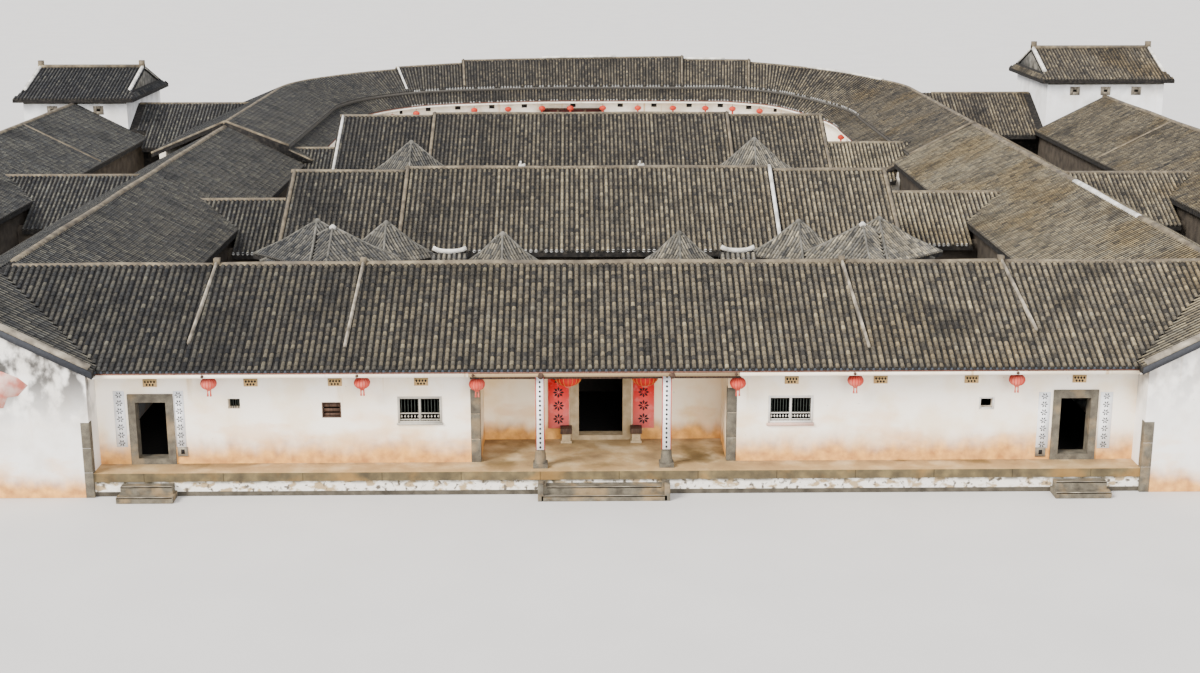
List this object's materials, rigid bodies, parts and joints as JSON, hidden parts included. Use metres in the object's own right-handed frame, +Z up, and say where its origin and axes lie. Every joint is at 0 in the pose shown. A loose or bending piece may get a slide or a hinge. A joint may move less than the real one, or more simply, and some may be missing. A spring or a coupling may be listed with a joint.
{
  "type": "hakka walled house (1:2 scale model)",
  "caption": "Low walled house with a long tiled front range and porch, paired side wings, inner halls and courts, corner towers and a horseshoe rear range, at half size",
  "frame": {"origin": "centre of the bounding box in plan, on the ground the walls stand on", "axes": "+X along the front to the right as seen from the front, +Y from the front to the back, +Z up"},
  "size_m": [37.5, 38, 4.97],
  "materials": {
    "roof_tile": "weathered grey-brown barrel tile",
    "lime_plaster": "stained lime plaster",
    "grey_stone": "dressed stone",
    "paving_stone": "worn stone slabs over a plastered plinth",
    "dark_timber": "aged timber",
    "red_paper": "faded red paper",
    "dark_red_timber": "dark red paint, worn"
  },
  "bodies": {
    "root": {"central_steps": "grey_stone", "centre_curved_inner_wall": "lime_plaster", "centre_curved_outer_wall": "lime_plaster", "centre_curved_roof": "roof_tile", "front_platform": "paving_stone", "front_range_rear_wall": "lime_plaster", "front_roof": "roof_tile", "front_wall_left": "lime_plaster", "front_wall_right": "lime_plaster", "left_big_lantern": "red_paper", "left_court_pavilions": "roof_tile", "left_curved_inner_wall": "lime_plaster", "left_curved_outer_wall": "lime_plaster", "left_curved_roof": "roof_tile", "left_door_frame": "grey_stone", "left_door_pedestal": "grey_stone", "left_eave_rail": "red_paper", "left_outer_wing_roof": "roof_tile", "left_outer_wing_walls": "lime_plaster", "left_porch_column": "grey_stone", "left_rear_link_roof": "roof_tile", "left_rear_pavilion": "roof_tile", "left_red_panel": "red_paper", "left_side_steps": "grey_stone", "left_tower_link": "roof_tile", "left_tower_roof": "roof_tile", "left_tower_walls": "lime_plaster", "left_wing_roof": "roof_tile", "left_wing_walls": "lime_plaster", "main_door_frame": "grey_stone", "middle_hall_roof": "roof_tile", "middle_hall_walls": "lime_plaster", "porch_beam": "dark_timber", "porch_walls": "lime_plaster", "rear_hall_roof": "roof_tile", "rear_hall_walls": "lime_plaster", "rear_red_screen": "dark_red_timber", "right_big_lantern": "red_paper", "right_court_pavilions": "roof_tile", "right_curved_inner_wall": "lime_plaster", "right_curved_outer_wall": "lime_plaster", "right_curved_roof": "roof_tile", "right_door_frame": "grey_stone", "right_door_pedestal": "grey_stone", "right_eave_rail": "red_paper", "right_outer_wing_roof": "roof_tile", "right_outer_wing_walls": "lime_plaster", "right_porch_column": "grey_stone", "right_rear_link_roof": "roof_tile", "right_rear_pavilion": "roof_tile", "right_red_panel": "red_paper", "right_side_steps": "grey_stone", "right_tower_link": "roof_tile", "right_tower_roof": "roof_tile", "right_tower_walls": "lime_plaster", "right_wing_roof": "roof_tile", "right_wing_walls": "lime_plaster"}
  },
  "joints": []
}
